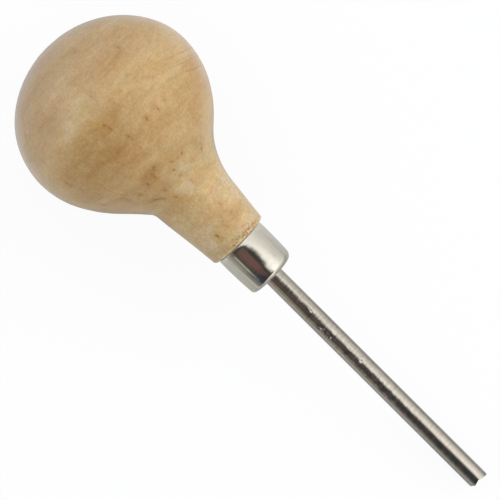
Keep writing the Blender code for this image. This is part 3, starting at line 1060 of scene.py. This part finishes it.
def card_material():
    """Dim warm glow with folds and soft edges, clear outside them."""
    material, tree = new_tree("warm_card")
    there = tree.node("ShaderNodeTexCoord", {}).outputs["Object"]
    x, y, _ = tree.split(there)
    share = tree.within(
        (tree.grain(there, *CARD_FOLDS), CARD_SHADES),
        (tree.math("ABSOLUTE", x), CARD_ALONG), (tree.math("ABSOLUTE", y), CARD_ACROSS),
    )
    clear = tree.node("ShaderNodeBsdfTransparent", {})
    glow = tree.node("ShaderNodeEmission", {"Color": CARD_GLOW, "Strength": 1.0})
    mixed = {0: share, 1: clear.outputs[0], 2: glow.outputs[0]}
    surface = tree.node("ShaderNodeMixShader", mixed)
    tree.node("ShaderNodeOutputMaterial", {"Surface": surface.outputs[0]})
    return material


def make_card():
    """Small warm card above the ferrule, which only its mirror image shows."""
    card = flat_sheet("card", 2 * max(CARD_ALONG[0], CARD_ACROSS[0]), card_material())
    card.location = CARD_PLACE
    for seen in ("camera", "diffuse", "shadow", "transmission", "volume_scatter"):
        setattr(card, "visible_" + seen, False)


def tent_bands(tree, across, along, station):
    """The bands of the tent overhead, leaning and widening along the tool, with their tints."""
    lean = 0.0
    for step in LEAN_STEPS:
        lean = tree.math("ADD", lean, tree.span(along, *step))
    leaning = tree.within((along, LEAN_FROM), *((across, side) for side in LEAN_SIDES))
    lean = tree.math("MULTIPLY", lean, leaning)
    widen = tree.within((station, WIDEN_STATIONS), (across, WIDEN_SIDES))
    tent = grey_ramp(tree, tree.math("ADD", tree.math("SUBTRACT", across, lean), widen), TENT)
    for shade, sides, stations in TENT_TINTS:
        steps = [(across, side) for side in sides] + [(station, step) for step in stations]
        tent = tree.tint(tent, tree.within(*steps), shade)
    return tent


def tent_opening(tree, ray, across, along):
    """The tent overhead: a dark opening with a dim warm middle, and a streak of light beside it."""
    station = tree.math("MULTIPLY_ADD", tree.math("MULTIPLY", across, across), STATION_BEND, along)
    tent = tent_bands(tree, across, along, station)
    core = tree.within(
        *((across, side) for side in OPENING_SIDES), (along, OPENING_FROM), (station, OPENING_TO),
        (tree.noise(ray, *OPENING_NOISE), OPENING_CLOUD),
    )
    aside = tree.apart(across, STREAK_ACROSS)
    streak = tree.within((aside, STREAK_WIDTH), *((along, reach) for reach in STREAK_REACH))
    return tree.blend(streak, tree.blend(core, tent, OPENING_GLOW), STREAK)


def mirrored_tent(tree, ray, x, y, z):
    """What metal mirrors: a white tent with a dark opening overhead for the camera."""
    across = tree.math("DEGREES", tree.math("ARCTAN2", y, z))
    along = tree.math("DEGREES", tree.math("ARCSINE", x))
    aside = tree.math("MULTIPLY_ADD", across, 1 / EDGE_WIDTH, -EDGE_MIDDLE / EDGE_WIDTH)
    edge = tree.math("MULTIPLY_ADD", tree.math("POWER", aside, 2.0), EDGE_RISE, EDGE_LOW)
    past = tree.math("SUBTRACT", along, tree.math("MINIMUM", edge, EDGE_HIGH))
    over = tree.within((past, EDGE_SOFT), (along, TENT_BEYOND))
    front = grey_ramp(tree, across, TENT_FRONT)
    ends = tree.blend(tree.span(along, *TENT_BEHIND), front, TENT_BACK)
    return tree.blend(over, ends, tent_opening(tree, ray, across, along))


def make_world():
    """White light tent: plain white to the camera, bands for metal to mirror, soft light else."""
    world = bpy.data.worlds.new("light_tent")
    world.use_nodes = True
    bpy.context.scene.world = world
    tree = Tree(world.node_tree)
    path = tree.node("ShaderNodeLightPath", {}).outputs
    ray = tree.node("ShaderNodeTexCoord", {}).outputs["Generated"]
    x, y, z = tree.split(ray)
    behind, aside = (
        tree.math("MAXIMUM", tree.math("MULTIPLY", part, -1.0), 0.0) for part in (x, y)
    )
    soft = tree.blend(aside, tree.blend(behind, AMBIENT, FILL, "ADD"), DROP, "SUBTRACT")
    lit = tree.blend(path["Is Glossy Ray"], soft, mirrored_tent(tree, ray, x, y, z))
    seen = tree.math("MAXIMUM", path["Is Camera Ray"], path["Is Transmission Ray"])
    sky = {"Color": tree.blend(seen, lit, WHITE), "Strength": 1.0}
    background = tree.node("ShaderNodeBackground", sky)
    tree.node("ShaderNodeOutputWorld", {"Surface": background.outputs[0]})


def make_key():
    """Large soft light from the +Y side."""
    data = bpy.data.lights.new("key", "AREA")
    data.shape = "SQUARE"
    data.size = KEY_SIZE
    data.energy = KEY_POWER
    key = bpy.data.objects.new("key", data)
    away = Vector(KEY_FROM).normalized()
    key.location = away * KEY_DISTANCE
    key.rotation_mode = "QUATERNION"
    key.rotation_quaternion = (-away).to_track_quat("-Z", "Y")
    key.visible_glossy = False
    bpy.context.scene.collection.objects.link(key)


def make_camera(place):
    """Camera almost straight above, turned so that the tool runs down the image's diagonal."""
    data = bpy.data.cameras.new("camera")
    data.sensor_width = SENSOR
    data.lens = LENS
    camera = bpy.data.objects.new("camera", data)
    bpy.context.scene.collection.objects.link(camera)
    back = Vector((math.sin(CAMERA_LEAN), 0.0, math.cos(CAMERA_LEAN)))
    tip = -place.to_3x3().col[2]
    tip = (tip - back * tip.dot(back)).normalized()
    side = Vector((0.0, 1.0, 0.0))
    right = tip * TIP_RIGHT + side * TIP_DOWN
    up = side * TIP_RIGHT - tip * TIP_DOWN
    aim = place @ Vector((0.0, AIM_ACROSS, AIM_ALONG))
    turn = Matrix((right, up, back)).transposed()
    camera.matrix_world = Matrix.Translation(aim + back * CAMERA_DISTANCE) @ turn.to_4x4()
    bpy.context.scene.camera = camera


def main():
    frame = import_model()
    place = tool_frame(frame)
    pieces = (
        (make_handle(place, wood_material(place)), "handle", "wood"),
        (make_ferrule(place, nickel_material(place)), "ferrule", "nickel_plate"),
        (make_shaft(place, steel_material(place)), "shaft", "steel"),
    )
    for piece, node, slot in pieces:
        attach(piece, "root")
        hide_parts(node)
    make_floor(place)
    make_card()
    make_world()
    make_key()
    make_camera(place)
    bpy.context.scene.view_settings.view_transform = "Standard"
    bpy.context.view_layer.update()


main()
